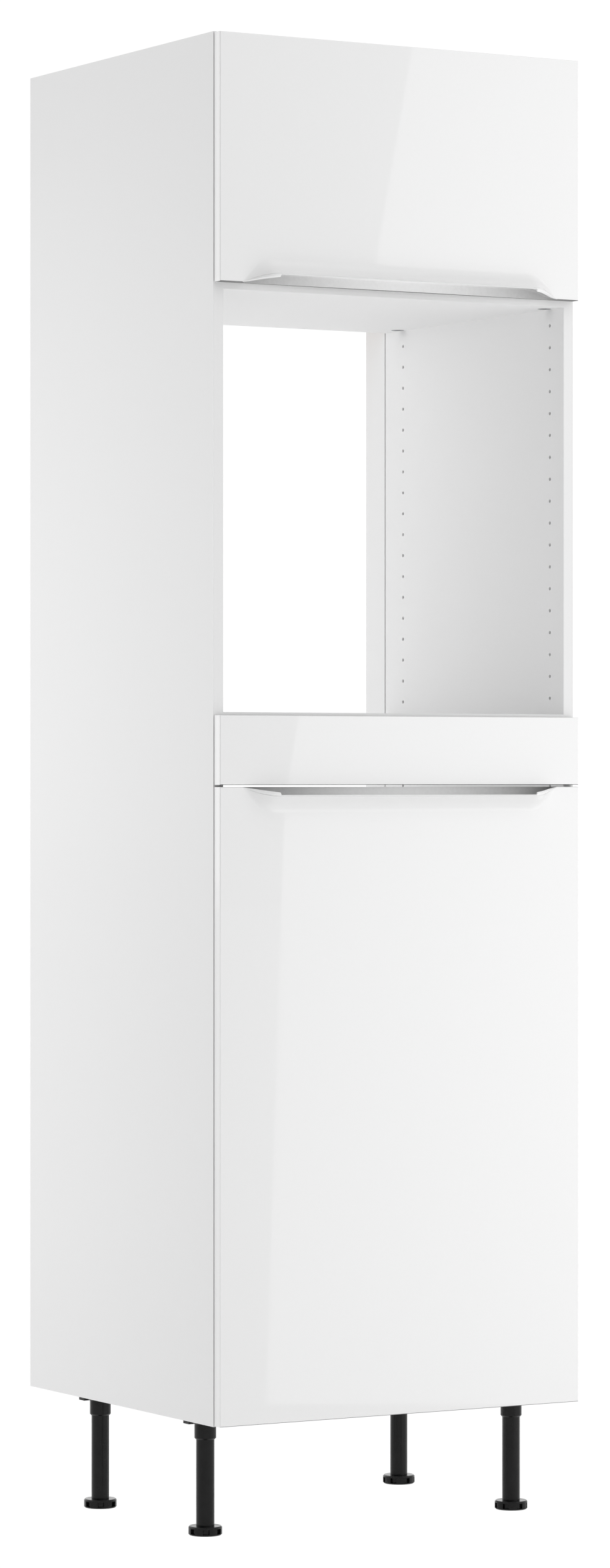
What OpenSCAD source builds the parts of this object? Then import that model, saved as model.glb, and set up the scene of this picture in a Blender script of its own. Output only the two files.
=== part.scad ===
// Tall housing cabinet for a built-in oven over a built-in fridge.
// Front faces -Y, height is +Z, and the origin is on the floor at the middle of the footprint.

/* [Cabinet] */
// Width over the two side panels
cabinet_w = 600; // [450:1:900]
// Height of the carcass without its legs
carcass_h = 1950; // [1850:1:2300]
// Depth of the carcass without its doors
carcass_d = 560; // [520:1:640]
// Thickness of the carcass boards
board_t = 16; // [15:0.5:22]
// Clear height of the fridge compartment
fridge_h = 967; // [900:1:1000]
// Clear height of the oven niche
niche_h = 592; // [560:1:610]
// Depth of the shelves, from the carcass front to the back panel
shelf_d = 501.5; // [470:0.5:510]

/* [Back panel] */
// Thickness of the thin back panel
back_t = 3; // [2.5:0.5:5]
// Depth of its groove in each side panel
groove_depth = 7; // [4:0.5:9]
// Clearance of the panel in its groove, on each side
groove_clearance = 0.2; // [0.1:0.1:0.5]

/* [System holes] */
// Distance between two holes of a row
hole_pitch = 32; // [25:1:40]
// Diameter of a system hole
hole_dia = 5; // [4:0.5:6]
// Depth of a system hole
hole_depth = 11.5; // [8:0.5:13]
// Height of the lowest hole above the carcass bottom
hole_start = 31; // [24:1:40]
// Distance of the front row from the carcass front
front_row = 37; // [30:1:60]
// Distance of the rear row from the carcass front
rear_row = 450; // [400:1:465]

/* [Fronts] */
// Thickness of the doors and the fascia
door_t = 16; // [16:0.5:22]
// Gap between the back of a front and the carcass
stand_off = 1; // [1:0.1:2]
// Set-in of the fronts from the cabinet's sides
side_reveal = 1.5; // [1:0.1:3]
// Set-in of the lower door above the carcass bottom
bottom_reveal = 1; // [0:0.5:4]
// Set-in of the upper door below the carcass top
top_reveal = 1.5; // [0:0.5:4]
// Gap between the lower door and the fascia
front_gap = 3; // [2:0.5:5]
// Height of the fixed fascia
fascia_h = 97.5; // [80:0.5:100]
// Set-in of the fascia below the top of the oven shelf
fascia_drop = 4.5; // [0:0.5:8]
// Lower edge of the upper door above the underside of the niche's top shelf
upper_door_rise = 9; // [2:0.5:12]
// Chamfer on the front edges of the fronts
front_chamfer = 0.8; // [0.3:0.1:1.5]

/* [Handle lips] */
// How far the lip stands out of the door
lip_projection = 23; // [18:0.5:28]
// Drop of the rim below the door's edge
lip_drop = 10.3; // [8:0.1:14]
// Drop of the rim at the two tips of the finger cut
tip_drop = 8.5; // [6:0.1:9]
// Height of the lip's foot on the door's face
lip_foot = 34.5; // [30:0.5:45]
// Set-in of the lip from each side of the door
lip_inset = 36.5; // [20:0.5:80]
// Length of each swept wing
wing_len = 54; // [40:1:80]
// Thickness of the rim
rim_t = 2.4; // [2:0.1:3.5]

/* [Hinges] */
// Diameter of the hinge cup
cup_dia = 34.8; // [34:0.1:35]
// Depth of the hinge cup in the door
cup_depth = 12.7; // [12:0.1:13]
// Wood left between the cup and the door's edge
cup_margin = 5; // [4.5:0.5:6]
// Distance of the arm's pivot from the door's edge
arm_pivot_inset = 28.5; // [28:0.1:29]
// Distance of the arm's pivot in front of the carcass
arm_pivot_ahead = 3; // [2.5:0.1:3.5]
// Distance of the cup's pivot from the door's edge
cup_pivot_inset = 10.5; // [10.3:0.1:11]
// Depth of the cup's pivot behind the door's back face
cup_pivot_depth = 5.5; // [5:0.1:6]
// Diameter of the hinge pins
pin_dia = 2.5; // [2:0.1:3]
// Distance of each hinge from the door's end, in steps of the system holes
hinge_steps = 2; // [2:1:4]

/* [Legs] */
// Height of the legs, from the floor to the carcass
leg_h = 166; // [140:1:200]
// Distance of the legs from the cabinet's sides
leg_inset = 43; // [40:1:80]
// Distance of the front legs from the carcass front
leg_front = 100; // [60:1:140]
// Distance of the rear legs from the carcass front
leg_rear = 418; // [380:1:430]
// Diameter of the leg tube
tube_dia = 26; // [24:0.5:30]
// Diameter of the socket's collar
collar_dia = 31; // [31:0.5:36]
// Height of the collar below the socket's flange
collar_h = 20.5; // [15:0.5:30]
// Diameter of the foot
foot_dia = 48; // [44:1:60]
// Height of the foot
foot_h = 12.7; // [10:0.1:16]
// Number of grip pockets round the foot
foot_grips = 7; // [5:1:9]

/* [Hidden] */

carcass_white = "#f1f1f1";
front_white = "#fafafa";
hardboard_white = "#ececec";
connector_grey = "#5a5d60";
steel = "#c4c7ca";
leg_black = "#1c1c1e";

// Overall places
overall_d = carcass_d + stand_off + door_t + lip_projection;
front_y = -overall_d / 2 + lip_projection + door_t + stand_off;
back_y = front_y + carcass_d;
base_z = leg_h;
top_z = base_z + carcass_h;
clear_w = cabinet_w - 2 * board_t;
inner_x = clear_w / 2;
front_w = cabinet_w - 2 * side_reveal;
front_back_y = front_y - stand_off;
front_face_y = front_back_y - door_t;

// Heights of the boards and fronts above the floor
oven_shelf_z = base_z + board_t + fridge_h;
niche_top_z = oven_shelf_z + board_t + niche_h;
lower_door_z = base_z + bottom_reveal;
fascia_z = oven_shelf_z + board_t - fascia_drop - fascia_h;
lower_door_h = fascia_z - front_gap - lower_door_z;
upper_door_z = niche_top_z + upper_door_rise;
upper_door_h = top_z - top_reveal - upper_door_z;

// System hole rows
hole_rows = [front_row, rear_row];
hole_count = floor((carcass_h - 2 * hole_start) / hole_pitch) + 1;
function hole_z(k) = base_z + hole_start + hole_pitch * k;
function row_y(row) = front_y + hole_rows[row];
function nearest_hole(z) = round((z - base_z - hole_start) / hole_pitch);
function off_grid(z) = abs(hole_z(nearest_hole(z)) - z) > 0.01;

// Cam connectors that join the horizontal boards to the side panels
connector_dia = 20;
connector_depth = 12.5;
connector_inset = 9.5;
connector_clearance = 0.1;
bolt_r = hole_dia / 2 - 0.1;
bolt_head_r = 3;
bolt_head_len = 9;
bolt_neck_gap = 0.5;
board_zs = [base_z, oven_shelf_z, niche_top_z, top_z - board_t];

// Handle lip
lip_len = front_w - 2 * lip_inset;
notch_len = 2.5;
wing_ease = 10;
wing_bend = 1.3;
band_h = 4.6;
band_slope = 0.8;
band_full = 8;
groove_h = 6.2;
// Ramp and groove points: share of the inner reach, of the rim's drop and of the groove's depth
groove_shape = [[0.18, 0.55, 0.22], [0.36, 1, 0.35], [0.45, 1, 0.82], [0.61, 1, 1],
                [0.78, 1, 0.82], [0.88, 1, 0.35]];
cove_steps = 7;
cove_power = 1.4;
wing_steps = 12;
lip_min = 0.9;
drop_min = 0.7;
groove_min = 0.2;
lip_screw_drop = 23;
lip_screw_r = 1.7;
lip_screw_bite = 5;
lip_screw_spacing = 180;
screw_clearance = 0.1;
pan_head_r = 3.6;
pan_head_h = 2.2;

// Hinges, all on the right side panel
hinge_edge_x = front_w / 2;
cup_r = cup_dia / 2;
cup_wall = 1;
cup_floor = 0.8;
cup_x = hinge_edge_x - cup_margin - cup_r - 0.1;
cup_flange_t = 0.6;
cup_flange_r = cup_r + 1.6;
cup_ear_z = 22.5;
cup_ear_inset = 9.5;
cup_ear_r = 5.5;
cup_pin_half = 11.3;
cup_hole_r = cup_r + 0.1;
cup_screw_r = 1.7;
cup_screw_len = 10;
arm_pivot = [hinge_edge_x - arm_pivot_inset, front_y - arm_pivot_ahead];
cup_pivot = [hinge_edge_x - cup_pivot_inset, front_back_y - cup_pivot_depth];
pin_r = pin_dia / 2;
pin_play = 0.06;
press_play = 0.02;
link_t = 2.2;
link_half_h = 6;
link_eye_r = 2.6;
link_floor_gap = 0.8;
link_low_y = front_back_y - cup_depth + cup_floor + link_floor_gap + link_t / 2;
arm_wall = 2;
arm_half_h = link_half_h + 0.3 + arm_wall;
arm_eye_r = 3;
arm_web_t = 1.8;
arm_web_x = inner_x - 14;
arm_back = 62;
plate_t = 2;
plate_rib_half = link_half_h - 0.2;
plate_wing_z = 24;
plate_wing_d = 14;
plate_len = 44;
euro_r = hole_dia / 2 - 0.05;
euro_head_r = 4.4;
euro_head_h = 1.8;
arm_screw_y = 48;
arm_screw_bite = 8;
arm_root_gap = 4.5;
link_bends = [4, 9];
hinge_zs = [hole_z(nearest_hole(upper_door_z + upper_door_h) - hinge_steps) - hole_pitch / 2,
            hole_z(nearest_hole(upper_door_z) + hinge_steps) + hole_pitch / 2,
            hole_z(nearest_hole(lower_door_z + lower_door_h) - hinge_steps) - hole_pitch / 2,
            hole_z(nearest_hole(lower_door_z) + hinge_steps) + hole_pitch / 2];
upper_hinges = [0, 1];
lower_hinges = [2, 3];

// Fascia brackets
bracket_t = 2;
bracket_leg = 30;
bracket_depth = 50;
bracket_margin = 15;
bracket_k = nearest_hole(oven_shelf_z) - 1;

// Door bumpers
bumper_r = 4;
bumper_t = 0.7;
bumper_inset = board_t / 2;
bumper_end = 30;

// Legs
flange_t = 8;
flange_rim_t = 5;
flange_r = 24;
flange_hub_r = 19;
tab_reach = 27.4;
tab_rear = 15;
tab_front = 1;
collar_taper = 2;
tube_play = 0.05;
socket_roof = 2;
spindle_r = 8;
spindle_play = 0.08;
spindle_len = 60;
bore_extra = 6;
foot_chamfer = 1.5;
grip_floor = 2.2;
grip_top = 3.2;
grip_deep = 3.5;
grip_share = 0.44;
grip_turn = -90;
leg_screw_r = 2;
leg_screw_bite = 12;
leg_screw_head_r = 3.3;
leg_screw_head_h = 2;
leg_screw_ring = 19.6;
leg_screw_turns = [45, -45];
leg_xs = [-cabinet_w / 2 + leg_inset, cabinet_w / 2 - leg_inset];
leg_ys = [front_y + leg_front, front_y + leg_rear];
leg_places = [[leg_xs[0], leg_ys[0], 0], [leg_xs[1], leg_ys[0], 180],
              [leg_xs[0], leg_ys[1], 0], [leg_xs[1], leg_ys[1], 180]];

cut = 1;
bore_facets = 32;

// A block between two corners
module block(low, high) {
    translate(low) cube([high[0] - low[0], high[1] - low[1], high[2] - low[2]]);
}

// A round bar along X, from x0 to x1
module bar_x(x0, x1, y, z, r, facets = bore_facets) {
    translate([x0, y, z]) rotate([0, 90, 0]) cylinder(h = x1 - x0, r = r, $fn = facets);
}

// A round bar along Y, from y0 to y1
module bar_y(x, y0, y1, z, r, facets = bore_facets) {
    translate([x, y1, z]) rotate([90, 0, 0]) cylinder(h = y1 - y0, r = r, $fn = facets);
}

// A round bar along Z, from z0 to z1
module bar_z(x, y, z0, z1, r, facets = bore_facets) {
    translate([x, y, z0]) cylinder(h = z1 - z0, r = r, $fn = facets);
}

// Right side panel with its two rows of system holes and the back panel's groove
module side_panel_body() {
    groove_y = front_y + shelf_d - groove_clearance;
    difference() {
        block([inner_x, front_y, base_z], [cabinet_w / 2, back_y, top_z]);
        block([inner_x - cut, groove_y, base_z - cut],
              [inner_x + groove_depth, groove_y + back_t + 2 * groove_clearance, top_z + cut]);
        for (row = [0, 1]) {
            for (k = [0 : hole_count - 1])
                bar_x(inner_x - cut, inner_x + hole_depth, row_y(row), hole_z(k), hole_dia / 2, 20);
            for (z = board_zs)
                if (off_grid(z + board_t / 2))
                    bar_x(inner_x - cut, inner_x + hole_depth, row_y(row), z + board_t / 2,
                          hole_dia / 2, 20);
        }
    }
}

module side_panel_right() {
    color(carcass_white) side_panel_body();
}

module side_panel_left() {
    color(carcass_white) mirror([1, 0, 0]) side_panel_body();
}

// Housing pocket of one cam connector, open to the board's underside and end
module connector_pocket(side, row, z) {
    x = inner_x - connector_inset;
    mirror([side, 0, 0]) {
        bar_z(x, row_y(row), z - cut, z + connector_depth, connector_dia / 2);
        bar_x(x, inner_x + cut, row_y(row), z + board_t / 2, bolt_head_r + 0.5, 20);
    }
}

// Horizontal board between the side panels, with its four connector pockets
module cross_board(z) {
    difference() {
        block([-inner_x, front_y, z], [inner_x, front_y + shelf_d, z + board_t]);
        for (side = [0, 1], row = [0, 1])
            connector_pocket(side, row, z);
    }
}

module top_panel() {
    color(carcass_white) cross_board(board_zs[3]);
}

module niche_top_shelf() {
    color(carcass_white) cross_board(board_zs[2]);
}

module oven_shelf() {
    color(carcass_white) cross_board(board_zs[1]);
}

// Bottom board, with the pilot holes of the leg screws
module bottom_panel() {
    color(carcass_white) difference() {
        cross_board(board_zs[0]);
        for (leg = leg_places, turn = leg_screw_turns)
            leg_screw_place(leg, turn)
                bar_z(0, 0, -cut, leg_screw_bite + 0.5, leg_screw_r, 16);
    }
}

// Thin back panel of the upper compartment, held in the two grooves
module upper_back_panel() {
    reach = inner_x + groove_depth - groove_clearance * 2;
    color(hardboard_white)
        block([-reach, front_y + shelf_d, niche_top_z + cut],
              [reach, front_y + shelf_d + back_t, top_z - cut]);
}

// Cam housing pressed into a board, with a cross slot in its face
module connector_housing(z) {
    x = inner_x - connector_inset;
    slot_half = 0.8;
    slot_len = 5;
    slot_deep = 1.6;
    difference() {
        bar_z(x, 0, z, z + connector_depth, connector_dia / 2 - connector_clearance);
        block([inner_x, -connector_dia, z - cut],
              [inner_x + connector_dia, connector_dia, z + board_t]);
        bar_x(inner_x - bolt_head_len - 0.5, inner_x + cut, 0, z + board_t / 2,
              bolt_head_r + bolt_neck_gap, 20);
        block([x - slot_len, -slot_half, z - cut], [x + slot_len, slot_half, z + slot_deep]);
        block([x - slot_half, -slot_len, z - cut], [x + slot_half, slot_len, z + slot_deep]);
    }
}

module shelf_connectors() {
    color(connector_grey)
        for (z = board_zs, side = [0, 1], row = [0, 1])
            mirror([side, 0, 0]) translate([0, row_y(row), 0]) connector_housing(z);
}

// Steel bolts screwed into the side panels, with their heads in the cam housings
module connector_bolts() {
    color(steel)
        for (z = board_zs, side = [0, 1], row = [0, 1])
            mirror([side, 0, 0]) {
                bar_x(inner_x, inner_x + hole_depth - 0.5, row_y(row), z + board_t / 2, bolt_r, 16);
                bar_x(inner_x - bolt_head_len, inner_x, row_y(row), z + board_t / 2, bolt_head_r, 16);
            }
}

// A front panel with its four front edges chamfered
module front_board(z, h) {
    long = front_w + 2 * cut;
    tall = h + 2 * cut;
    c = front_chamfer;
    difference() {
        block([-front_w / 2, front_face_y, z], [front_w / 2, front_back_y, z + h]);
        for (end = [z, z + h])
            translate([0, front_face_y, end]) rotate([45, 0, 0])
                cube([long, c * sqrt(2), c * sqrt(2)], center = true);
        for (side = [-1, 1])
            translate([side * front_w / 2, front_face_y, z + h / 2]) rotate([0, 0, 45])
                cube([c * sqrt(2), c * sqrt(2), tall], center = true);
    }
}

module fascia_panel() {
    color(front_white) difference() {
        front_board(fascia_z, fascia_h);
        for (side = [0, 1], k = [bracket_k - 1, bracket_k])
            mirror([side, 0, 0])
                bar_y(inner_x - bracket_leg / 2, front_back_y - door_t / 2, front_back_y + cut,
                      hole_z(k), lip_screw_r, 16);
    }
}

// Steel angle behind each end of the fascia
module fascia_bracket() {
    z0 = hole_z(bracket_k - 1) - bracket_margin;
    z1 = hole_z(bracket_k) + bracket_margin;
    difference() {
        union() {
            block([inner_x - bracket_t, front_back_y, z0], [inner_x, front_y + bracket_depth, z1]);
            block([inner_x - bracket_leg, front_back_y, z0],
                  [inner_x, front_back_y + bracket_t, z1]);
        }
        for (k = [bracket_k - 1, bracket_k]) {
            bar_x(inner_x - bracket_t - cut, inner_x + cut, row_y(0), hole_z(k), hole_dia / 2 + 0.1, 20);
            bar_y(inner_x - bracket_leg / 2, front_back_y - cut, front_back_y + bracket_t + cut,
                  hole_z(k), lip_screw_r + screw_clearance, 20);
        }
    }
}

module fascia_brackets() {
    color(steel) for (side = [0, 1]) mirror([side, 0, 0]) fascia_bracket();
}

// Screws of the two brackets: two into each side panel and two into the fascia
module fascia_screws() {
    color(steel)
        for (side = [0, 1], k = [bracket_k - 1, bracket_k])
            mirror([side, 0, 0]) {
                union() {
                    bar_x(inner_x - bracket_t, inner_x + hole_depth - 0.5, row_y(0), hole_z(k), euro_r, 16);
                    bar_x(inner_x - bracket_t - euro_head_h, inner_x - bracket_t, row_y(0), hole_z(k),
                          euro_head_r, 20);
                }
                union() {
                    bar_y(inner_x - bracket_leg / 2, front_back_y - door_t / 2 + 0.5,
                          front_back_y + bracket_t, hole_z(k), lip_screw_r, 16);
                    bar_y(inner_x - bracket_leg / 2, front_back_y + bracket_t,
                          front_back_y + bracket_t + pan_head_h, hole_z(k), pan_head_r, 20);
                }
            }
}

// Smooth step from 0 to 1
function unit(t) = max(0, min(1, t));
function ease(t) = unit(t) * unit(t) * (3 - 2 * unit(t));

// Reach and drop of the lip's rim, at a distance a from the wing's start
function lip_reach(a) =
    lip_min + (lip_projection - lip_min) * sin(90 * unit(a / wing_len)) * ease(a / wing_ease);
function rim_drop(a) =
    drop_min + (tip_drop - drop_min) * (1 - pow(1 - unit(a / wing_len), wing_bend))
    + (lip_drop - tip_drop) * ease((a - tip_at()) / notch_len);
function tip_at() = wing_len - notch_len - 1;

// Section of the lip at a: ramp, finger groove, rim, bright band and cove down to the door's face
function lip_section(a) =
    let (reach = lip_reach(a), drop = rim_drop(a),
         inner = reach - min(rim_t, reach / 2),
         deep = groove_min + (groove_h - groove_min) * pow(inner / (lip_projection - rim_t), 2),
         band = band_h * unit(reach / band_full),
         crease = reach - min(band_slope * band, reach / 2),
         foot = drop + band
                + (lip_foot - lip_drop - band_h) * pow(reach / lip_projection, 0.6))
    concat(
        [[0, 0]],
        [for (p = groove_shape) [-p[0] * inner, -(p[1] * drop + p[2] * deep)]],
        [[-inner, -drop], [-reach, -drop]],
        [for (i = [0 : cove_steps])
            [-crease * pow(1 - i / cove_steps, cove_power),
             -(drop + band + (foot - drop - band) * i / cove_steps)]]);

// Lip swept along the door's edge, with its edge at z = 0 and hanging down
module lip_solid() {
    wing = concat([for (i = [0 : wing_steps]) tip_at() * i / wing_steps],
                  [for (i = [1 : 3]) tip_at() + notch_len * i / 3], [wing_len]);
    last = len(wing) - 1;
    stations = concat([for (a = wing) [a - lip_len / 2, a]],
                      [for (i = [0 : last]) [lip_len / 2 - wing[last - i], wing[last - i]]]);
    rings = [for (s = stations) lip_section(s[1])];
    n = len(rings[0]);
    m = len(stations);
    points = [for (i = [0 : m - 1], p = rings[i]) [stations[i][0], p[0], p[1]]];
    sides = [for (i = [0 : m - 2], j = [0 : n - 1])
        let (q = (j + 1) % n)
        each [[i * n + j, i * n + q, (i + 1) * n + q], [i * n + j, (i + 1) * n + q, (i + 1) * n + j]]];
    caps = [[for (j = [n - 1 : -1 : 0]) j], [for (j = [0 : n - 1]) (m - 1) * n + j]];
    polyhedron(points = points, faces = concat(sides, caps), convexity = 6);
}

// Lip with the blind holes of its three screws
module door_lip() {
    difference() {
        lip_solid();
        for (i = [-1 : 1])
            bar_y(i * lip_screw_spacing, -lip_screw_bite - 0.5, cut, -lip_screw_drop, lip_screw_r, 16);
    }
}

// Screws of the lip, put in from the door's back
module lip_screws() {
    for (i = [-1 : 1])
        union() {
            bar_y(i * lip_screw_spacing, -lip_screw_bite, door_t, -lip_screw_drop,
                  lip_screw_r - screw_clearance / 2, 16);
            bar_y(i * lip_screw_spacing, door_t, door_t + pan_head_h, -lip_screw_drop, pan_head_r, 20);
        }
}

// The upper door's lip is the lower one upside down, along the door's lower edge
module at_lower_door_edge() {
    translate([0, front_face_y, lower_door_z + lower_door_h]) children();
}

module at_upper_door_edge() {
    translate([0, front_face_y, upper_door_z]) mirror([0, 0, 1]) children();
}

module upper_door_handle() {
    color(front_white) at_upper_door_edge() door_lip();
}

module lower_door_handle() {
    color(front_white) at_lower_door_edge() door_lip();
}

module upper_handle_screws() {
    color(steel) at_upper_door_edge() lip_screws();
}

module lower_handle_screws() {
    color(steel) at_lower_door_edge() lip_screws();
}

// Holes of a door: cup, cup screws and lip screws
module door_holes(hinges) {
    for (i = hinges) {
        bar_y(cup_x, front_back_y - cup_depth - 0.3, front_back_y + cut, hinge_zs[i], cup_hole_r, 48);
        for (side = [-1, 1])
            bar_y(cup_x - cup_ear_inset, front_back_y - cup_screw_len - 0.5, front_back_y + cut,
                  hinge_zs[i] + side * cup_ear_z, cup_screw_r, 16);
    }
}

module lip_screw_holes() {
    for (i = [-1 : 1])
        bar_y(i * lip_screw_spacing, -cut, door_t + cut, -lip_screw_drop,
              lip_screw_r + screw_clearance, 16);
}

module upper_door() {
    color(front_white) difference() {
        front_board(upper_door_z, upper_door_h);
        door_holes(upper_hinges);
        at_upper_door_edge() lip_screw_holes();
    }
}

module lower_door() {
    color(front_white) difference() {
        front_board(lower_door_z, lower_door_h);
        door_holes(lower_hinges);
        at_lower_door_edge() lip_screw_holes();
    }
}

// Soft pads on a door's free side, which meet the left side panel's front edge
module bumpers(z, h) {
    for (end = [z + bumper_end, z + h - bumper_end])
        bar_y(-cabinet_w / 2 + bumper_inset, front_back_y, front_back_y + bumper_t, end, bumper_r, 24);
}

module upper_door_bumpers() {
    color(hardboard_white) bumpers(upper_door_z, upper_door_h);
}

module lower_door_bumpers() {
    color(hardboard_white) bumpers(lower_door_z, lower_door_h);
}

// Hinge plate on the side panel: base, two screw wings and the rib that carries the arm
module hinge_plate(z) {
    rib_x = arm_web_x + arm_web_t;
    y0 = front_y + front_row - plate_wing_d / 2;
    color(steel) difference() {
        union() {
            block([inner_x - plate_t, y0 - plate_wing_d / 2, z - plate_wing_d],
                  [inner_x, y0 - plate_wing_d / 2 + plate_len, z + plate_wing_d]);
            block([inner_x - plate_t, y0, z - plate_wing_z],
                  [inner_x, y0 + plate_wing_d, z + plate_wing_z]);
            block([rib_x, y0 - plate_wing_d / 2, z - plate_rib_half],
                  [inner_x - plate_t, y0 - plate_wing_d / 2 + plate_len, z + plate_rib_half]);
        }
        for (side = [-1, 1])
            bar_x(inner_x - plate_t - cut, inner_x + cut, row_y(0), z + side * hole_pitch / 2,
                  hole_dia / 2 + 0.1, 20);
        bar_x(rib_x - cut, rib_x + arm_screw_bite + 0.5, front_y + arm_screw_y, z, lip_screw_r, 16);
    }
}

// Hinge arm: a steel channel over the plate's rib, with two cheeks that hold the link's pin
module hinge_arm(z) {
    tip = arm_pivot;
    root_x = inner_x - arm_root_gap;
    bend = [front_y + 10, front_y + 16];
    color(steel) difference() {
        translate([0, 0, z - arm_half_h]) linear_extrude(2 * arm_half_h) union() {
            translate(tip) circle(r = arm_eye_r, $fn = 32);
            polygon([[tip[0] - arm_eye_r, tip[1]], [tip[0] + arm_eye_r, tip[1]],
                     [tip[0] + arm_eye_r, bend[0]], [root_x, bend[1]], [root_x, front_y + arm_back],
                     [arm_web_x, front_y + arm_back], [arm_web_x, bend[1]],
                     [tip[0] - arm_eye_r, bend[0]]]);
        }
        block([arm_web_x + arm_web_t, bend[1], z - arm_half_h + arm_wall],
              [inner_x, front_y + arm_back + cut, z + arm_half_h - arm_wall]);
        block([arm_web_x - board_t, tip[1] - board_t, z - arm_half_h + arm_wall],
              [inner_x, bend[0], z + arm_half_h - arm_wall]);
        bar_z(tip[0], tip[1], z - arm_half_h - cut, z + arm_half_h + cut, pin_r + press_play, 24);
        bar_x(arm_web_x - cut, arm_web_x + arm_web_t + cut, front_y + arm_screw_y, z,
              lip_screw_r + screw_clearance, 16);
    }
}

// One straight stretch of the link's strap
module strap(p, q) {
    translate(p) rotate(atan2(q[1] - p[1], q[0] - p[0]))
        translate([0, -link_t / 2]) square([norm(q - p), link_t]);
}

// Bent strap link between the arm's pin and the cup's pin
module hinge_link(z) {
    route = [cup_pivot, [cup_pivot[0] - link_bends[0], link_low_y],
             [cup_pivot[0] - link_bends[1], link_low_y], arm_pivot];
    color(steel) translate([0, 0, z - link_half_h]) linear_extrude(2 * link_half_h) difference() {
        union() {
            for (i = [0 : 2])
                strap(route[i], route[i + 1]);
            for (i = [1, 2])
                translate(route[i]) circle(r = link_t / 2, $fn = 20);
            for (i = [0, 3])
                translate(route[i]) circle(r = link_eye_r, $fn = 28);
        }
        for (i = [0, 3])
            translate(route[i]) circle(r = pin_r + pin_play, $fn = 24);
    }
}

// Hinge cup, pressed into the door's back, with its flange and two screw ears
module hinge_cup(z) {
    ear_x = cup_x - cup_ear_inset;
    rim_y = front_back_y + cup_flange_t;
    color(steel) difference() {
        union() {
            bar_y(cup_x, front_back_y - cup_depth, front_back_y, z, cup_r, 48);
            bar_y(cup_x, front_back_y, rim_y, z, cup_flange_r, 48);
            block([ear_x - cup_ear_r, front_back_y, z - cup_ear_z],
                  [ear_x + cup_ear_r, rim_y, z + cup_ear_z]);
            for (side = [-1, 1])
                bar_y(ear_x, front_back_y, rim_y, z + side * cup_ear_z, cup_ear_r, 24);
        }
        bar_y(cup_x, front_back_y - cup_depth + cup_floor, rim_y + cut, z, cup_r - cup_wall, 48);
        bar_z(cup_pivot[0], cup_pivot[1], z - cup_pin_half, z + cup_pin_half, pin_r + press_play, 24);
        for (side = [-1, 1])
            bar_y(ear_x, front_back_y - cut, rim_y + cut, z + side * cup_ear_z,
                  cup_screw_r + screw_clearance, 16);
    }
}

module hinge_arm_pins() {
    color(steel) for (z = hinge_zs)
        bar_z(arm_pivot[0], arm_pivot[1], z - arm_half_h, z + arm_half_h, pin_r, 24);
}

module cup_pins(hinges) {
    color(steel) for (i = hinges)
        bar_z(cup_pivot[0], cup_pivot[1], hinge_zs[i] - cup_pin_half + 0.1,
              hinge_zs[i] + cup_pin_half - 0.1, pin_r, 24);
}

module upper_cup_pins() {
    cup_pins(upper_hinges);
}

module lower_cup_pins() {
    cup_pins(lower_hinges);
}

// Screws of a cup's two ears
module cup_screws(hinges) {
    head_y = front_back_y + cup_flange_t;
    color(steel) for (i = hinges, side = [-1, 1])
        union() {
            bar_y(cup_x - cup_ear_inset, front_back_y - cup_screw_len, head_y,
                  hinge_zs[i] + side * cup_ear_z, cup_screw_r - screw_clearance / 2, 16);
            bar_y(cup_x - cup_ear_inset, head_y, head_y + pan_head_h,
                  hinge_zs[i] + side * cup_ear_z, pan_head_r, 20);
        }
}

module upper_cup_screws() {
    cup_screws(upper_hinges);
}

module lower_cup_screws() {
    cup_screws(lower_hinges);
}

// Screws of the hinge plates, and the screw that holds each arm on its plate
module hinge_plate_screws() {
    color(steel) for (z = hinge_zs) {
        for (side = [-1, 1])
            union() {
                bar_x(inner_x - plate_t, inner_x + hole_depth - 0.5, row_y(0),
                      z + side * hole_pitch / 2, euro_r, 16);
                bar_x(inner_x - plate_t - euro_head_h, inner_x - plate_t, row_y(0),
                      z + side * hole_pitch / 2, euro_head_r, 20);
            }
        union() {
            bar_x(arm_web_x, arm_web_x + arm_web_t + arm_screw_bite, front_y + arm_screw_y, z,
                  lip_screw_r - screw_clearance / 2, 16);
            bar_x(arm_web_x - pan_head_h, arm_web_x, front_y + arm_screw_y, z, pan_head_r, 20);
        }
    }
}

module at_leg(i) {
    translate([leg_places[i][0], leg_places[i][1], 0]) rotate(leg_places[i][2]) children();
}

module leg_screw_place(leg, turn) {
    translate([leg[0], leg[1], base_z]) rotate(leg[2] + turn)
        translate([leg_screw_ring, 0, 0]) children();
}

// Moulded socket under the bottom panel: flange with a side tab, and the tapered collar
module leg_socket(i) {
    hub_z = base_z - flange_t;
    collar_z = hub_z - collar_h;
    color(leg_black) at_leg(i) difference() {
        union() {
            translate([0, 0, base_z - flange_rim_t]) cylinder(h = flange_rim_t, r = flange_r, $fn = 64);
            translate([0, 0, hub_z])
                cylinder(h = flange_t - flange_rim_t, r1 = flange_hub_r, r2 = flange_r - 1, $fn = 64);
            block([-tab_reach, -tab_front, hub_z], [0, tab_rear, base_z]);
            translate([0, 0, collar_z]) cylinder(h = collar_h + cut, r = collar_dia / 2, $fn = 64);
            translate([0, 0, collar_z - collar_taper])
                cylinder(h = collar_taper, r1 = tube_dia / 2 + 0.6, r2 = collar_dia / 2, $fn = 64);
        }
        bar_z(0, 0, collar_z - collar_taper - cut, base_z - socket_roof, tube_dia / 2 + tube_play, 64);
        for (turn = leg_screw_turns)
            rotate(turn) translate([leg_screw_ring, 0, 0]) {
                bar_z(0, 0, hub_z - cut, base_z + cut, leg_screw_r + screw_clearance, 16);
                bar_z(0, 0, hub_z - cut, base_z - flange_rim_t + leg_screw_head_h,
                      leg_screw_head_r + screw_clearance, 20);
            }
    }
}

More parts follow.
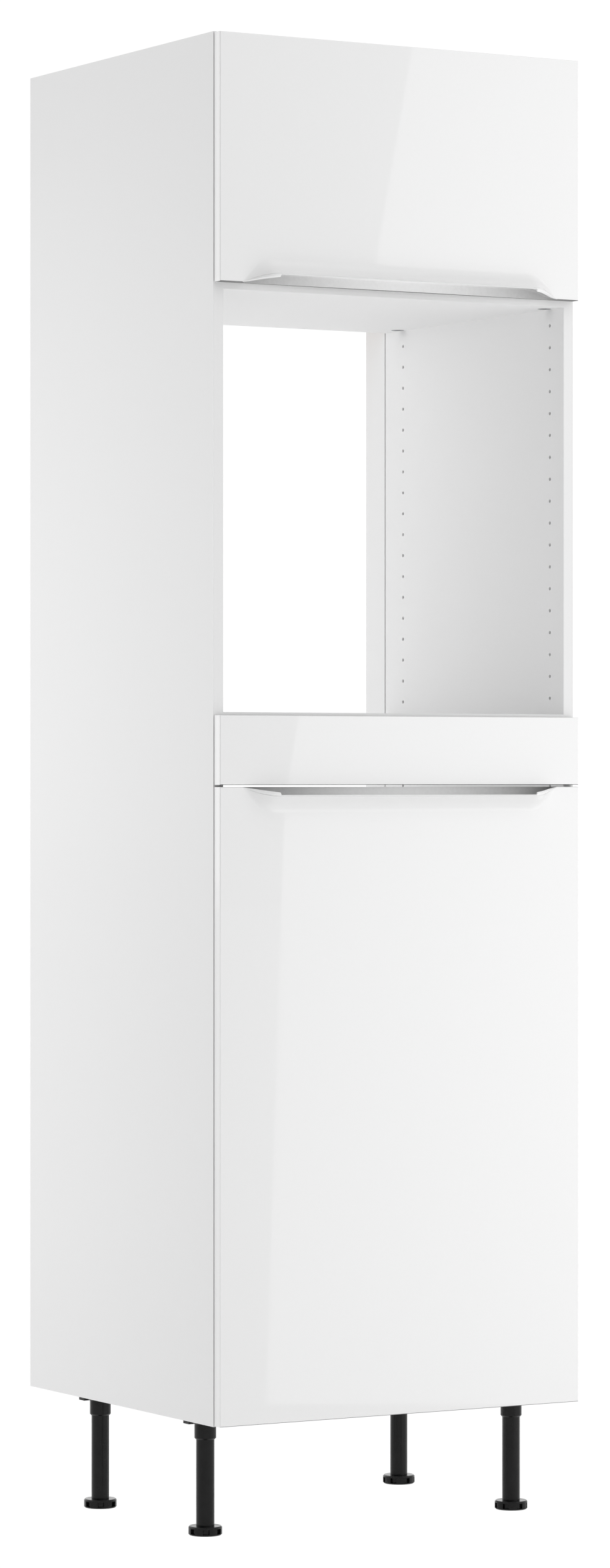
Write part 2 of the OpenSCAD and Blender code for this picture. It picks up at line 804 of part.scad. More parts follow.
// Leg tube, pressed into its socket and bored for the foot's spindle
module leg_tube(i) {
    color(leg_black) at_leg(i) difference() {
        bar_z(0, 0, foot_h, base_z - socket_roof, tube_dia / 2, 64);
        bar_z(0, 0, foot_h - cut, foot_h + spindle_len + bore_extra, spindle_r + spindle_play, 32);
    }
}

// Wedge of a ring, from the grip's depth outwards
module grip_pocket() {
    half = 360 / foot_grips * grip_share / 2;
    far = foot_dia;
    linear_extrude(foot_h - grip_floor - grip_top) difference() {
        polygon([[0, 0], far * [cos(half), -sin(half)], far * [cos(half), sin(half)]]);
        circle(r = foot_dia / 2 - grip_deep, $fn = 64);
    }
}

// Foot disc with grip pockets round its rim, in one piece with its spindle
module leg_foot(i) {
    r = foot_dia / 2;
    c = foot_chamfer;
    color(leg_black) at_leg(i) difference() {
        union() {
            cylinder(h = c, r1 = r - c, r2 = r, $fn = 64);
            translate([0, 0, c]) cylinder(h = foot_h - 2 * c, r = r, $fn = 64);
            translate([0, 0, foot_h - c]) cylinder(h = c, r1 = r, r2 = r - c, $fn = 64);
            bar_z(0, 0, foot_h - cut, foot_h + spindle_len, spindle_r, 32);
        }
        for (k = [0 : foot_grips - 1])
            rotate(grip_turn + 360 / foot_grips * (k + 0.5)) translate([0, 0, grip_floor]) grip_pocket();
    }
}

module leg_screws() {
    head_z = base_z - flange_rim_t;
    color(steel) for (leg = leg_places, turn = leg_screw_turns)
        leg_screw_place(leg, turn) union() {
            bar_z(0, 0, leg_screw_head_h - flange_rim_t, leg_screw_bite,
                  leg_screw_r - screw_clearance / 2, 16);
            bar_z(0, 0, -flange_rim_t, leg_screw_head_h - flange_rim_t, leg_screw_head_r, 20);
        }
}

side_panel_left();
side_panel_right();
top_panel();
bottom_panel();
niche_top_shelf();
oven_shelf();
upper_back_panel();
shelf_connectors();
connector_bolts();
fascia_panel();
fascia_brackets();
fascia_screws();
upper_door();
upper_door_handle();
upper_handle_screws();
upper_door_bumpers();
lower_door();
lower_door_handle();
lower_handle_screws();
lower_door_bumpers();
hinge_plate(hinge_zs[0]);  // hinge_plate_1
hinge_plate(hinge_zs[1]);  // hinge_plate_2
hinge_plate(hinge_zs[2]);  // hinge_plate_3
hinge_plate(hinge_zs[3]);  // hinge_plate_4
hinge_arm(hinge_zs[0]);  // hinge_arm_1
hinge_arm(hinge_zs[1]);  // hinge_arm_2
hinge_arm(hinge_zs[2]);  // hinge_arm_3
hinge_arm(hinge_zs[3]);  // hinge_arm_4
hinge_link(hinge_zs[0]);  // hinge_link_1
hinge_link(hinge_zs[1]);  // hinge_link_2
hinge_link(hinge_zs[2]);  // hinge_link_3
hinge_link(hinge_zs[3]);  // hinge_link_4
hinge_cup(hinge_zs[0]);  // hinge_cup_1
hinge_cup(hinge_zs[1]);  // hinge_cup_2
hinge_cup(hinge_zs[2]);  // hinge_cup_3
hinge_cup(hinge_zs[3]);  // hinge_cup_4
hinge_arm_pins();
upper_cup_pins();
lower_cup_pins();
hinge_plate_screws();
upper_cup_screws();
lower_cup_screws();
leg_socket(0);  // leg_socket_1
leg_socket(1);  // leg_socket_2
leg_socket(2);  // leg_socket_3
leg_socket(3);  // leg_socket_4
leg_tube(0);  // leg_tube_1
leg_tube(1);  // leg_tube_2
leg_tube(2);  // leg_tube_3
leg_tube(3);  // leg_tube_4
leg_foot(0);  // leg_foot_1
leg_foot(1);  // leg_foot_2
leg_foot(2);  // leg_foot_3
leg_foot(3);  // leg_foot_4
leg_screws();
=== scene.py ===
# A tall white kitchen cabinet that houses a built-in oven, dressed piece by piece.

import math

import bmesh
import bpy
import numpy as np
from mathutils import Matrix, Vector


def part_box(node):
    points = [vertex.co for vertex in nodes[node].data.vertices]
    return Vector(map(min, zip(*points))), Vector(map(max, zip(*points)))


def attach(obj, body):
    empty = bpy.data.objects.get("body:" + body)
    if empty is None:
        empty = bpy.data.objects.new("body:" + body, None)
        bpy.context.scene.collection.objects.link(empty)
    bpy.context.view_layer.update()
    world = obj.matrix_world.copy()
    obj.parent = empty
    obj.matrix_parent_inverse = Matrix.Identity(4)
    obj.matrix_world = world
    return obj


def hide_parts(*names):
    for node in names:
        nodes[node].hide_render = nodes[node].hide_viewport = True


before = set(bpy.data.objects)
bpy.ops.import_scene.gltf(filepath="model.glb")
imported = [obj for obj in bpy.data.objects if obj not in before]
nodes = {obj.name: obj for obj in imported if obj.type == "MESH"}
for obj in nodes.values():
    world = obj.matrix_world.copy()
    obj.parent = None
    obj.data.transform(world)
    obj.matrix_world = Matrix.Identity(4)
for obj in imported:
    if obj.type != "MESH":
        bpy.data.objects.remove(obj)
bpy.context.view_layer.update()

# The photographer's place: well back and to the left of the front, at about half the cabinet's
# height, with a long lens held level and lowered a touch by its shift.
camera_data = bpy.data.cameras.new("studio_camera")
camera_data.lens = 117.52
camera_data.sensor_width = 36
camera_data.shift_y = -0.00393
camera_data.clip_end = 60
camera = bpy.data.objects.new("studio_camera", camera_data)
camera.location = (-3.7845, -6.5047, 1.0729)
camera.rotation_euler = (math.radians(90), 0, math.radians(-30.19))
bpy.context.collection.objects.link(camera)
bpy.context.scene.camera = camera

# The studio: a white room, lightest behind the cabinet, so that the niche's open back glows, and
# darkest on the left. The camera itself sees plain white.
view = bpy.context.scene.view_settings
view.view_transform = "Standard"
view.look = "None"
view.exposure = 0.0
view.gamma = 1.0

seen_white = 1.03
room_even = 0.191
room_lobes = (((-1, 0, 0), -0.191), ((0.7, -0.7, 0), 0.605), ((0, 1, 0), 1.202),
              ((0, 0, 1), 0.525))
room = bpy.data.worlds.new("white_studio")
room.use_nodes = True
bpy.context.scene.world = room
sky = room.node_tree
sky.nodes.clear()
sky_out = sky.nodes.new("ShaderNodeOutputWorld")
sky_seen = sky.nodes.new("ShaderNodeBackground")
sky_seen.inputs["Color"].default_value = (1, 1, 1, 1)
sky_seen.inputs["Strength"].default_value = seen_white
sky_lit = sky.nodes.new("ShaderNodeBackground")
sky_lit.inputs["Color"].default_value = (1, 1, 1, 1)
sky_way = sky.nodes.new("ShaderNodeTexCoord")
level = None
for way, glow in room_lobes:
    facing = sky.nodes.new("ShaderNodeVectorMath")
    facing.operation = "DOT_PRODUCT"
    facing.inputs[1].default_value = way
    sky.links.new(sky_way.outputs["Generated"], facing.inputs[0])
    held = sky.nodes.new("ShaderNodeMath")
    held.operation = "MAXIMUM"
    held.inputs[1].default_value = 0
    sky.links.new(facing.outputs["Value"], held.inputs[0])
    adding = sky.nodes.new("ShaderNodeMath")
    adding.operation = "MULTIPLY_ADD"
    adding.inputs[1].default_value = glow
    adding.inputs[2].default_value = room_even
    sky.links.new(held.outputs[0], adding.inputs[0])
    if level is not None:
        sky.links.new(level, adding.inputs[2])
    level = adding.outputs[0]
sky.links.new(level, sky_lit.inputs["Strength"])
sky_path = sky.nodes.new("ShaderNodeLightPath")
sky_mix = sky.nodes.new("ShaderNodeMixShader")
sky.links.new(sky_path.outputs["Is Camera Ray"], sky_mix.inputs[0])
sky.links.new(sky_lit.outputs[0], sky_mix.inputs[1])
sky.links.new(sky_seen.outputs[0], sky_mix.inputs[2])
sky.links.new(sky_mix.outputs[0], sky_out.inputs["Surface"])

# The floor is a white sweep, cut out clean in the photograph: plain white to the camera, and a
# pale matt floor to everything that it lights.
floor_reach = 30
floor_seam = 0.3


def floor_strip(name, y0, y1, glow):
    """A strip of the floor across the room, from y0 to y1."""
    mesh = bpy.data.meshes.new(name)
    mesh.from_pydata([(-floor_reach, y0, 0), (floor_reach, y0, 0), (floor_reach, y1, 0),
                      (-floor_reach, y1, 0)], [], [(0, 1, 2, 3)])
    strip = bpy.data.objects.new(name, mesh)
    bpy.context.collection.objects.link(strip)
    made = bpy.data.materials.new(name)
    made.use_nodes = True
    tree = made.node_tree
    tree.nodes.clear()
    out = tree.nodes.new("ShaderNodeOutputMaterial")
    matt = tree.nodes.new("ShaderNodeBsdfPrincipled")
    matt.inputs["Base Color"].default_value = (0.5, 0.5, 0.5, 1)
    matt.inputs["Roughness"].default_value = 1.0
    matt.inputs["Specular IOR Level"].default_value = 0.0
    matt.inputs["Emission Color"].default_value = (1, 1, 1, 1)
    matt.inputs["Emission Strength"].default_value = glow
    seen = tree.nodes.new("ShaderNodeEmission")
    seen.inputs["Strength"].default_value = seen_white
    path = tree.nodes.new("ShaderNodeLightPath")
    mix = tree.nodes.new("ShaderNodeMixShader")
    tree.links.new(path.outputs["Is Camera Ray"], mix.inputs[0])
    tree.links.new(matt.outputs[0], mix.inputs[1])
    tree.links.new(seen.outputs[0], mix.inputs[2])
    tree.links.new(mix.outputs[0], out.inputs["Surface"])
    mesh.materials.append(made)


floor_strip("floor_front", -floor_reach, floor_seam, glow=0.453)
floor_strip("floor_rear", floor_seam, floor_reach, glow=0.407)


# Soft lights: a tall softbox at the right of the front, turned to face the cabinet, whose slanted
# near edge shows down the glossy doors, one at the left side, two behind, of which one lies low,
# and one overhead.
def soft_light(name, corners, glow):
    """A flat light through the corners, which glows evenly."""
    mesh = bpy.data.meshes.new(name)
    mesh.from_pydata(corners, [], [tuple(range(len(corners)))])
    lamp = bpy.data.objects.new(name, mesh)
    bpy.context.collection.objects.link(lamp)
    cover = bpy.data.materials.new(name)
    cover.use_nodes = True
    cover.node_tree.nodes.clear()
    glowing = cover.node_tree.nodes.new("ShaderNodeEmission")
    glowing.inputs["Strength"].default_value = glow
    out = cover.node_tree.nodes.new("ShaderNodeOutputMaterial")
    cover.node_tree.links.new(glowing.outputs[0], out.inputs["Surface"])
    mesh.materials.append(cover)
    lamp.visible_camera = False


soft_light("softbox", [(0.485, -1.518, 0.02), (0.512, -1.502, 1.037), (0.72, -1.383, 2.45),
                       (1.45, -0.96, 2.45), (1.45, -0.96, 0.02)], glow=1.533)
soft_light("side_box", [(-1.9, -0.1, 0.4), (-1.9, 1.7, 0.4), (-1.9, 1.7, 1.9),
                        (-1.9, -0.1, 1.9)], glow=1.523)
soft_light("rear_box", [(-1.1, 0.9, 0.9), (0.1, 0.9, 0.9), (0.1, 0.9, 1.9),
                        (-1.1, 0.9, 1.9)], glow=1.354)
soft_light("low_rear_box", [(-0.6, 0.7, 0.05), (0.6, 0.7, 0.05), (0.6, 1.5, 0.05),
                            (-0.6, 1.5, 0.05)], glow=1.334)
soft_light("top_box", [(-0.9, -1.9, 3.2), (0.9, -1.9, 3.2), (0.9, -0.1, 3.2),
                       (-0.9, -0.1, 3.2)], glow=1.106)


# The carcass boards: chipboard faced with white melamine foil, whose press plate leaves a fine
# pearl grain, with a 1 mm plastic band ironed on their long edges.
def finish_of(name, colour, roughness, metallic=0.0, specular=0.5, coat=0.0, coat_roughness=0.1):
    """A principled finish, its even numbers on the shader's own sockets."""
    made = bpy.data.materials.new(name)
    made.use_nodes = True
    shader = made.node_tree.nodes["Principled BSDF"]
    shader.inputs["Base Color"].default_value = (*colour, 1)
    shader.inputs["Roughness"].default_value = roughness
    shader.inputs["Metallic"].default_value = metallic
    shader.inputs["Specular IOR Level"].default_value = specular
    shader.inputs["Coat Weight"].default_value = coat
    shader.inputs["Coat Roughness"].default_value = coat_roughness
    return made, made.node_tree, shader


def grain(tree, cells, detail, stretch=(1, 1, 1)):
    """Fractal noise over the object's own coordinates, with `cells` cells to the metre."""
    place = tree.nodes.new("ShaderNodeTexCoord")
    turn = tree.nodes.new("ShaderNodeMapping")
    turn.inputs["Scale"].default_value = stretch
    noise = tree.nodes.new("ShaderNodeTexNoise")
    noise.inputs["Scale"].default_value = cells
    noise.inputs["Detail"].default_value = detail
    tree.links.new(place.outputs["Object"], turn.inputs["Vector"])
    tree.links.new(turn.outputs["Vector"], noise.inputs["Vector"])
    return noise.outputs["Fac"]


# Nearly all of a fractal noise lies between these two values
noise_low = 0.3
noise_high = 0.7


def ranged(tree, value, low, high):
    """The noise's middle range spread from low to high."""
    spread = tree.nodes.new("ShaderNodeMapRange")
    for socket, number in (("From Min", noise_low), ("From Max", noise_high), ("To Min", low),
                           ("To Max", high)):
        spread.inputs[socket].default_value = number
    tree.links.new(value, spread.inputs["Value"])
    return spread.outputs["Result"]


def roughened(tree, shader, value, low, high):
    """Roughness that goes from low to high with a noise value."""
    tree.links.new(ranged(tree, value, low, high), shader.inputs["Roughness"])


def tinted(tree, shader, value, dark, light):
    """Base colour that goes from dark to light with a noise value."""
    ramp = tree.nodes.new("ShaderNodeValToRGB")
    ramp.color_ramp.elements[0].position = noise_low
    ramp.color_ramp.elements[0].color = (*dark, 1)
    ramp.color_ramp.elements[1].position = noise_high
    ramp.color_ramp.elements[1].color = (*light, 1)
    tree.links.new(value, ramp.inputs["Fac"])
    tree.links.new(ramp.outputs["Color"], shader.inputs["Base Color"])
    return ramp.outputs["Color"]


def embossed(tree, shader, value, height):
    """Bumps of a height in metres that follow a noise value."""
    bump = tree.nodes.new("ShaderNodeBump")
    bump.inputs["Distance"].default_value = height
    tree.links.new(value, bump.inputs["Height"])
    tree.links.new(bump.outputs["Normal"], shader.inputs["Normal"])


def dress(names, made):
    """Give CAD nodes a finish, leaving their meshes as they are."""
    for name in names:
        mesh = nodes[name].data
        mesh.materials.clear()
        mesh.materials.append(made)


melamine, tree, shader = finish_of("board_melamine", (0.86, 0.86, 0.86), roughness=0.5)
pearl = grain(tree, cells=900, detail=3.0)
roughened(tree, shader, grain(tree, cells=250, detail=2.0), low=0.46, high=0.53)
tinted(tree, shader, grain(tree, cells=250, detail=3.0),
       dark=(0.856, 0.856, 0.857), light=(0.864, 0.864, 0.864))
embossed(tree, shader, pearl, height=0.00002)
dress(["side_panel_left", "side_panel_right", "top_panel", "bottom_panel", "niche_top_shelf",
       "oven_shelf"], melamine)

# The upper compartment's back: 3 mm hardboard slid into the side panels' grooves, printed white
# on its inner face, with the bare brown board showing behind.
bare_skin = 0.0003
hardboard, tree, shader = finish_of("printed_hardboard", (0.83, 0.83, 0.82), roughness=0.6)
fibre = grain(tree, cells=350, detail=4.0, stretch=(1, 1, 0.25))
roughened(tree, shader, fibre, low=0.5, high=0.68)
white = tinted(tree, shader, fibre, dark=(0.80, 0.80, 0.785), light=(0.85, 0.85, 0.845))
brown = tinted(tree, shader, grain(tree, cells=60, detail=5.0),
               dark=(0.19, 0.115, 0.06), light=(0.31, 0.20, 0.115))
place = tree.nodes.new("ShaderNodeTexCoord")
split = tree.nodes.new("ShaderNodeSeparateXYZ")
tree.links.new(place.outputs["Object"], split.inputs[0])
behind = tree.nodes.new("ShaderNodeMath")
behind.operation = "GREATER_THAN"
behind.inputs[1].default_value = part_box("upper_back_panel")[1][1] - bare_skin
tree.links.new(split.outputs["Y"], behind.inputs[0])
faced = tree.nodes.new("ShaderNodeMixRGB")
tree.links.new(behind.outputs[0], faced.inputs[0])
tree.links.new(white, faced.inputs[1])
tree.links.new(brown, faced.inputs[2])
tree.links.new(faced.outputs[0], shader.inputs["Base Color"])
embossed(tree, shader, fibre, height=0.00006)
dress(["upper_back_panel"], hardboard)

# Cam connectors: grey die-cast housings pressed into pockets in the undersides of the boards,
# each of which grips a bolt in the side panel.
casting, tree, shader = finish_of("grey_casting", (0.25, 0.26, 0.27), roughness=0.5, metallic=0.8)
pitted = grain(tree, cells=1400, detail=3.0)
roughened(tree, shader, pitted, low=0.42, high=0.6)
tinted(tree, shader, grain(tree, cells=300, detail=2.0),
       dark=(0.2, 0.21, 0.22), light=(0.3, 0.31, 0.32))
embossed(tree, shader, pitted, height=0.00005)
dress(["shelf_connectors"], casting)

# Bolts, screws, brackets and the four concealed hinges: pressed and turned steel with a bright
# nickel or zinc plating.
nickel, tree, shader = finish_of("plated_steel", (0.62, 0.62, 0.61), roughness=0.32,
                                 metallic=1.0)
rolled = grain(tree, cells=700, detail=3.0)
roughened(tree, shader, rolled, low=0.24, high=0.4)
tinted(tree, shader, grain(tree, cells=120, detail=2.0),
       dark=(0.57, 0.575, 0.57), light=(0.66, 0.66, 0.65))
embossed(tree, shader, rolled, height=0.00002)
steel_words = ("hinge", "screw", "bolt", "bracket", "pins")
dress([name for name in nodes if any(word in name for word in steel_words)], nickel)

# The fronts: two doors and a fascia of fibreboard under a white high-gloss foil, with their
# edges eased by hand. The foil has the very faint ripple that such a gloss shows.
lacquer, tree, shader = finish_of("front_gloss", (0.9, 0.9, 0.9), roughness=0.35, coat=1.0,
                                  coat_roughness=0.025)
shader.inputs["Coat IOR"].default_value = 1.65
ripple = grain(tree, cells=160, detail=1.0)
roughened(tree, shader, grain(tree, cells=200, detail=2.0), low=0.32, high=0.38)
tinted(tree, shader, grain(tree, cells=220, detail=2.0),
       dark=(0.897, 0.897, 0.897), light=(0.903, 0.903, 0.903))
embossed(tree, shader, ripple, height=0.00001)
dress(["fascia_panel", "upper_door", "lower_door"], lacquer)

# The fronts' lower edges and back corners take a dull dark grey, streaked along the edge: painted
# shade that stands in for the shadow in the gaps under and behind the fronts.
painted_gap_shade, tree, shader = finish_of("painted_gap_shade", (0.2, 0.2, 0.2), roughness=0.6)
gap_shade_streaks = grain(tree, cells=300, detail=3.0, stretch=(0.2, 1, 1))
roughened(tree, shader, gap_shade_streaks, low=0.52, high=0.7)
tinted(tree, shader, gap_shade_streaks, dark=(0.18, 0.18, 0.18), light=(0.23, 0.23, 0.23))
embossed(tree, shader, gap_shade_streaks, height=0.00005)

front_ease = 0.0008
gap_shade_band = 0.001
gap_shade_down = -0.4
corner_turn = 0.6
corner_spread = 0.39


def front_copy(name, node, leaf, cutter=None):
    """A front with its edges eased, and the finger recess milled out by the cutter.

    The faces that look down at its lower edge, and the eased corners at its back, take a dark
    grey, painted shade for the gaps there. A corner is told by the back-facing part of its
    normal: corner_turn, give or take corner_spread.
    """
    mesh = nodes[node].data.copy()
    mesh.name = name
    solid = bmesh.new()
    solid.from_mesh(mesh)
    bmesh.ops.remove_doubles(solid, verts=solid.verts, dist=2e-6)
    bmesh.ops.dissolve_limit(solid, angle_limit=math.radians(0.2), verts=solid.verts,
                             edges=solid.edges)
    solid.to_mesh(mesh)
    solid.free()
    piece = bpy.data.objects.new(name, mesh)
    bpy.context.collection.objects.link(piece)
    if cutter is not None:
        milling = piece.modifiers.new("milling", "BOOLEAN")
        milling.operation = "DIFFERENCE"
        milling.solver = "EXACT"
        milling.material_mode = "TRANSFER"
        milling.object = cutter
    easing = piece.modifiers.new("easing", "BEVEL")
    easing.width = front_ease
    easing.segments = 3
    easing.limit_method = "ANGLE"
    easing.angle_limit = math.radians(40)
    evening = piece.modifiers.new("evening", "WEIGHTED_NORMAL")
    evening.keep_sharp = True
    bpy.context.view_layer.update()
    finished = bpy.data.meshes.new_from_object(piece.evaluated_get(
        bpy.context.evaluated_depsgraph_get()))
    piece.modifiers.clear()
    piece.data = finished
    finished.materials.append(painted_gap_shade)
    count = len(finished.polygons)
    normals, centres = np.empty(count * 3, np.float32), np.empty(count * 3, np.float32)
    finished.polygons.foreach_get("normal", normals)
    finished.polygons.foreach_get("center", centres)
    coats = np.empty(count, np.int32)
    finished.polygons.foreach_get("material_index", coats)
    lowest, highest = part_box(node)
    # Painted shade: the downward faces at the lower edge and the eased back corners turn dark
    # grey, as the gaps there lie in shade.
    shaded_under = (centres[2::3] < lowest[2] + gap_shade_band) & (normals[2::3] < gap_shade_down)
    corner = ((centres[1::3] > highest[1] - gap_shade_band)
              & (np.abs(normals[1::3] - corner_turn) < corner_spread))
    coats[shaded_under | corner] = len(finished.materials) - 1
    finished.polygons.foreach_set("material_index", coats)
    if cutter is not None:
        bpy.data.objects.remove(cutter)
    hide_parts(node)
    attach(piece, leaf)


front_copy("fascia_front", "fascia_panel", "carcass")

# The finger grips: one lip along the edge of each door, moulded in the front's own white and
# screwed on from behind, that stands out 23 mm. Its rim overhangs a finger groove, and its foot
# runs out into the door's face.
lower_edge_z = 1.060
upper_edge_z = 1.766
lip_face_y = -0.277
lip_length = 0.524
wing_length = 0.0500
wing_points = 40
lip_reach_full = 0.023
lip_reach_tip = 0.0004
reach_power = 1.6
lip_drop_full = 0.0111
lip_drop_tip = 0.0077
lip_drop_end = 0.0003
drop_straight = 0.7
drop_eased = 0.3
knee_back = 0.0018
knee_over = 0.0022
lip_edge = 0.0013
crease_end = 0.0006
fade_from = 0.020
fade_over = 0.030
bead_bulge = 0.6
edge_bulge = 0.0008
rim_thick = 0.0024
rim_corner = 0.0005
bead_quirk = 0.0016
quirk_thinning = 0.7
quirk_sink = 0.8
cove_foot = 0.0370
cove_power = 2.1
cove_spread = 0.6
cove_sink = 0.00004
cove_step = 0.00005
groove_deep = 0.0060
floor_end = 0.0004
recess_step = 0.0030


def eased(t):
    """Smooth step: 3 t squared minus 2 t cubed, with t held between 0 and 1."""
    t = np.clip(t, 0, 1)
    return t * t * (3 - 2 * t)


def lip_surface(x):
    """Lip sections at the stations x, as two arrays over (station, point): forward and down.

    With a the distance from the nearer end, the cove's top line grows as the sine of a quarter
    turn over the wing, and the reach as a power of it. Each section runs from the recess in the
    door's edge round the hollow, a half sine, over the rim, down a bead whose bulge is a
    parabola, through a small groove, a half sine, and along a cove, a power curve of the depth,
    to the foot on the door's face. The bead is high and round on the wings, and between them
    its top drops to a narrow edge.
    """
    a = lip_length / 2 - np.abs(x)
    share = np.clip(a / wing_length, 0, 1)
    turn = np.sin(np.pi / 2 * share)
    straight = eased((a - wing_length + knee_back) / knee_over)
    reach = lip_reach_tip + (lip_reach_full - lip_reach_tip) * turn ** reach_power
    full = reach / lip_reach_full
    drop = (lip_drop_end
            + (lip_drop_tip - lip_drop_end) * (drop_straight * share + drop_eased * eased(share))
            + (lip_drop_full - lip_drop_tip) * straight)
    crease = crease_end + (lip_drop_full + lip_edge - crease_end) * turn
    band = crease - drop
    fade = eased((a - fade_from) / fade_over)
    bulge = np.minimum(bead_bulge * band * (1 - fade) + edge_bulge * fade, 0.5 * reach)
    back = reach - bulge
    rim = np.minimum(rim_thick, reach / 2)
    inner = reach - rim
    deep = groove_deep * full ** 2
    floor = floor_end + (lip_drop_full - floor_end) * turn + recess_step * full
    quirk = bead_quirk * full * (1 - quirk_thinning * fade)
    foot = crease + quirk + (cove_foot - lip_drop_full - lip_edge) * full ** cove_spread

    u = np.linspace(0, 1, 25)
    forward = [inner[:, None] * u]
    down = [floor[:, None] * (1 - u) + drop[:, None] * u + deep[:, None] * np.sin(np.pi * u)]
    corner = np.minimum(rim_corner, 0.25 * np.minimum(rim, band))
    quarter = np.linspace(0, np.pi / 2, 5)
    forward.append((back - corner)[:, None] + corner[:, None] * np.sin(quarter))
    down.append((drop + corner)[:, None] - corner[:, None] * np.cos(quarter))
    w = np.linspace(0, 1, 14)[1:]
    forward.append(reach[:, None] - bulge[:, None] * (2 * w - 1) ** 2)
    down.append((drop + corner)[:, None] + (band - corner)[:, None] * w)
    t = np.linspace(0, 1, 8)[1:-1]
    forward.append(back[:, None] - quirk_sink * quirk[:, None] * np.sin(np.pi * t))
    down.append(crease[:, None] + quirk[:, None] * t)
    v = np.linspace(0, 1, 28)
    forward.append((back + cove_sink)[:, None] * (1 - v) ** cove_power - cove_sink)
    down.append((crease + quirk + cove_step)[:, None] + (foot - crease - quirk)[:, None] * v)
    return np.concatenate(forward, axis=1), np.concatenate(down, axis=1)


def closed_shell(name, x, y, z, finish, turned):
    """A shell through closed sections at the stations x, with a flat cap at both ends.

    y and z are arrays over (station, point). A quad joins each two points of a section to the
    same two of the next, and every face is turned over where that faces it outwards.
    """
    rows, points = y.shape
    places = np.stack([np.repeat(x[:, None], points, 1), y, z], axis=2).reshape(-1, 3)
    i, j = np.meshgrid(np.arange(rows - 1), np.arange(points), indexing="ij")
    k = (j + 1) % points
    quads = np.stack([i * points + j, i * points + k, (i + 1) * points + k,
                      (i + 1) * points + j], axis=2).reshape(-1, 4)
    ring = np.arange(points)
    caps = [ring[::-1].tolist(), (ring + (rows - 1) * points).tolist()]
    faces = quads.tolist() + caps
    if turned:
        faces = [face[::-1] for face in faces]
    mesh = bpy.data.meshes.new(name)
    mesh.from_pydata(places.tolist(), [], faces)
    mesh.materials.append(finish)
    shell = bpy.data.objects.new(name, mesh)
    bpy.context.collection.objects.link(shell)
    return shell


def grip_lip(name, edge_z, hang, node, leaf):
    """Close the lip's surface against the door and hang it down (+1) or stand it up (-1).

    The stations lie closest at the ends, as 1 minus a cosine, and at the knee.
    """
    wing = wing_length * (1 - np.cos(np.linspace(0, np.pi / 2, wing_points)))
    knee = wing_length + np.linspace(-0.0020, 0.0008, 15)
    middle = np.linspace(wing_length + 0.002, lip_length / 2, 12)
    half = np.concatenate([wing[wing < knee[0] - 0.0002], knee, middle]) - lip_length / 2
    x = np.concatenate([half, -half[-2::-1]])
    forward, down = lip_surface(x)
    piece = closed_shell(name, x, lip_face_y - forward, edge_z - hang * down, lacquer, hang > 0)
    piece.data.shade_smooth()
    piece.data.set_sharp_from_angle(angle=math.radians(38))
    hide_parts(node)
    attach(piece, leaf)


# The recess is milled after the foil is on and given a matt white whose colour carries painted
# shade: it turns grey towards the recess's two ends, where the hollow lies in shade.
recess_half = 0.235
end_shade_power = 1.7
recess_shade_finish, tree, shader = finish_of("recess_painted_shade", (0.7, 0.7, 0.7), roughness=0.6)
sanded = grain(tree, cells=600, detail=3.0)
roughened(tree, shader, sanded, low=0.52, high=0.7)
along = tree.nodes.new("ShaderNodeTexCoord")
split = tree.nodes.new("ShaderNodeSeparateXYZ")
tree.links.new(along.outputs["Object"], split.inputs[0])
cover = split.outputs["X"]
for operation, number in (("ABSOLUTE", 0), ("DIVIDE", recess_half), ("POWER", end_shade_power)):
    step = tree.nodes.new("ShaderNodeMath")
    step.operation = operation
    step.inputs[1].default_value = number
    tree.links.new(cover, step.inputs[0])
    cover = step.outputs[0]
speckled_end_shade = tree.nodes.new("ShaderNodeMath")
speckled_end_shade.operation = "MULTIPLY_ADD"
speckled_end_shade.inputs[1].default_value = noise_high - noise_low
tree.links.new(cover, speckled_end_shade.inputs[0])
tree.links.new(ranged(tree, grain(tree, cells=200, detail=3.0), low=0.28, high=0.32),
               speckled_end_shade.inputs[2])
# Painted shade: pale in the middle of the recess, darker towards both of its ends.
tinted(tree, shader, speckled_end_shade.outputs[0], dark=(0.89, 0.89, 0.89), light=(0.49, 0.49, 0.49))
embossed(tree, shader, sanded, height=0.00004)

recess_depth = 0.0132
recess_middle = 0.0060
recess_skin = 0.0003
recess_ease = 0.010
recess_inset = 0.001
recess_taper = 0.03
recess_corner = 0.002
cutter_proud = 0.001
cutter_over = 0.002


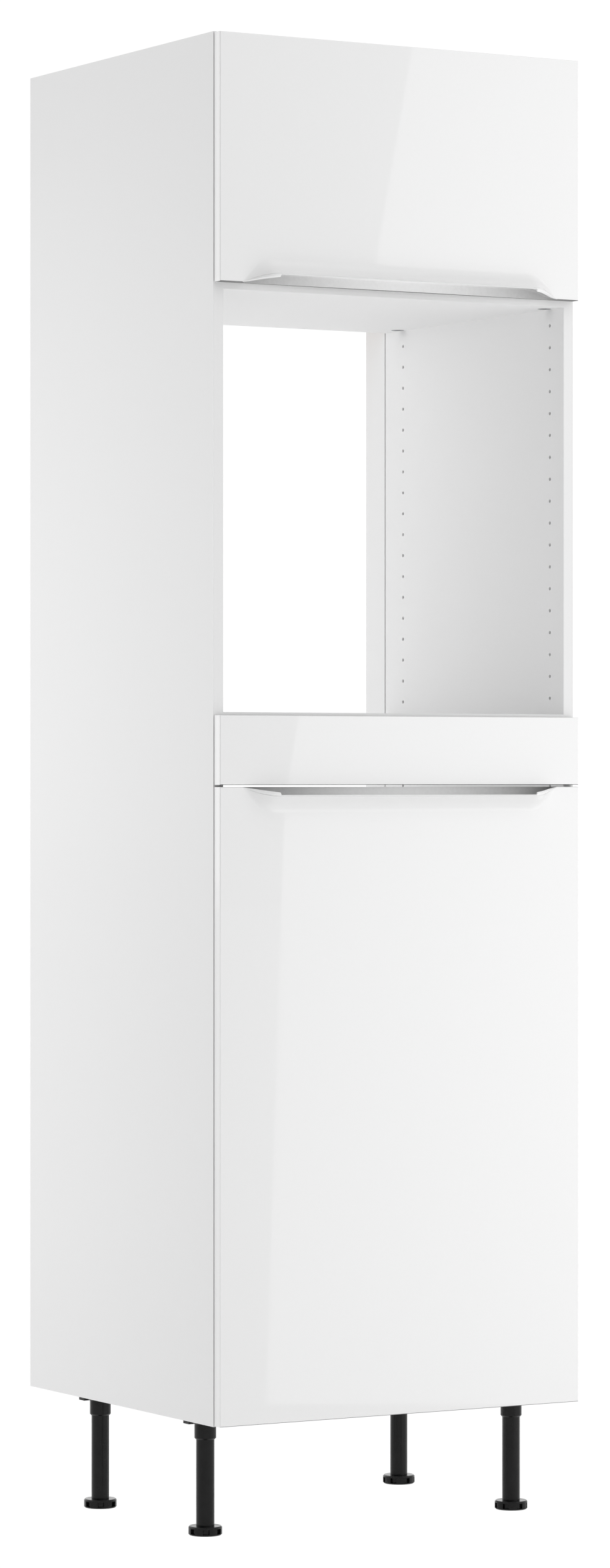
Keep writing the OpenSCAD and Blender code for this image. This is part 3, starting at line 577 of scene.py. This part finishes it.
def finger_recess(name, edge_z, hang):
    """The milling path behind a lip: a channel whose depth and height ease in over the wings.

    Its section is a box with a rounded inner corner, a quarter circle, drawn as depth behind
    the door's face against the distance from the door's edge. The path bows: it is deepest at
    the ends and shallower by half a sine wave towards the middle.
    """
    end = lip_length / 2 - recess_inset
    x = np.concatenate([recess_taper * (1 - np.cos(np.linspace(0, np.pi / 2, 24))),
                        np.linspace(recess_taper, end, 16)[1:]])
    x = np.concatenate([x - lip_length / 2 + recess_inset, (end - x)[-2::-1]])
    a = lip_length / 2 - np.abs(x)
    depth = ((recess_depth - (recess_depth - recess_middle) * np.sin(np.pi * a / lip_length))
             * eased(a / recess_ease) + recess_skin)
    floor = np.maximum(lip_surface(x)[1][:, 0], floor_end)
    radius = np.minimum(recess_corner, 0.45 * np.minimum(depth, floor))
    quarter = np.linspace(0, np.pi / 2, 6)
    proud = np.full((len(x), 1), -cutter_proud)
    over = np.full((len(x), 1), -cutter_over)
    back = np.concatenate([proud, proud,
                           (depth - radius)[:, None] + radius[:, None] * np.sin(quarter),
                           depth[:, None]], axis=1)
    below = np.concatenate([over, floor[:, None],
                            (floor - radius)[:, None] + radius[:, None] * np.cos(quarter),
                            over], axis=1)
    return closed_shell(name, x, lip_face_y + back, edge_z - hang * below, recess_shade_finish, hang < 0)


grip_lip("lower_grip_lip", lower_edge_z, 1, "lower_door_handle", "lower_door_leaf")
grip_lip("upper_grip_lip", upper_edge_z, -1, "upper_door_handle", "upper_door_leaf")
front_copy("lower_front", "lower_door", "lower_door_leaf",
           finger_recess("lower_recess", lower_edge_z, 1))
front_copy("upper_front", "upper_door", "upper_door_leaf",
           finger_recess("upper_recess", upper_edge_z, -1))

# Door bumpers: small clear pads of soft polyurethane, self-adhesive, stuck behind the doors' free
# edges, where they meet the carcass.
pad, tree, shader = finish_of("bumper_gel", (0.85, 0.86, 0.86), roughness=0.3)
shader.inputs["Transmission Weight"].default_value = 0.6
cloudy = grain(tree, cells=500, detail=2.0)
roughened(tree, shader, cloudy, low=0.24, high=0.4)
tinted(tree, shader, cloudy, dark=(0.82, 0.83, 0.83), light=(0.88, 0.89, 0.89))
embossed(tree, shader, cloudy, height=0.00003)
dress(["upper_door_bumpers", "lower_door_bumpers"], pad)

# The legs: black injection-moulded polymer, a socket screwed under the bottom board, a smooth
# tube plugged into it and a threaded foot with finger grips to level the cabinet.
polymer, tree, shader = finish_of("leg_polymer", (0.004, 0.004, 0.004), roughness=0.22,
                                  specular=0.25)
moulded = grain(tree, cells=1100, detail=3.0)
roughened(tree, shader, grain(tree, cells=60, detail=2.0), low=0.18, high=0.28)
tinted(tree, shader, grain(tree, cells=90, detail=2.0),
       dark=(0.003, 0.003, 0.003), light=(0.006, 0.006, 0.006))
embossed(tree, shader, moulded, height=0.00003)
dress([name for name in nodes if name.startswith("leg_") and name != "leg_screws"], polymer)
